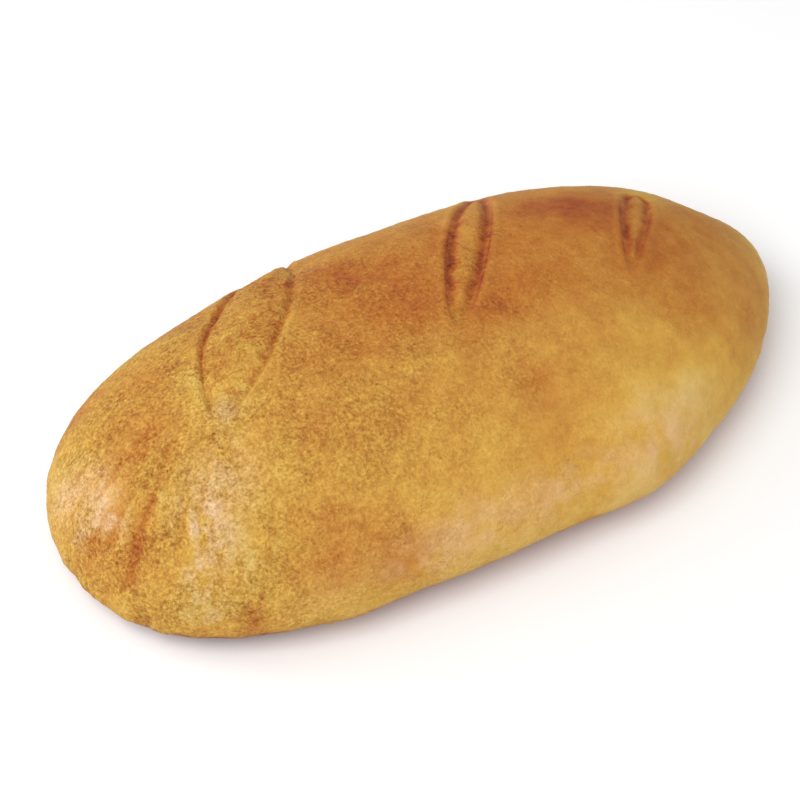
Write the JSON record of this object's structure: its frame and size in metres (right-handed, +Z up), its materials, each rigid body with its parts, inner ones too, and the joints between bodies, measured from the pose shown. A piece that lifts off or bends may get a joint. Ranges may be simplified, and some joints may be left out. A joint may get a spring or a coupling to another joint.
{
  "type": "wheat-rye bread loaf",
  "caption": "Oblong hand-shaped wheat-rye bread loaf with a golden crust and slanting slashes, resting on its flat baked base.",
  "frame": {"origin": "centre of the bounding box in X and Y, on the flat baked base", "axes": "+X along the loaf from its blunt end to its slim end, +Z up out of the base, +Y towards the side that the slashes point to"},
  "size_m": [0.2908, 0.1482, 0.0713],
  "materials": {
    "crust": "satin"
  },
  "bodies": {
    "root": {"loaf": "crust"}
  },
  "joints": []
}
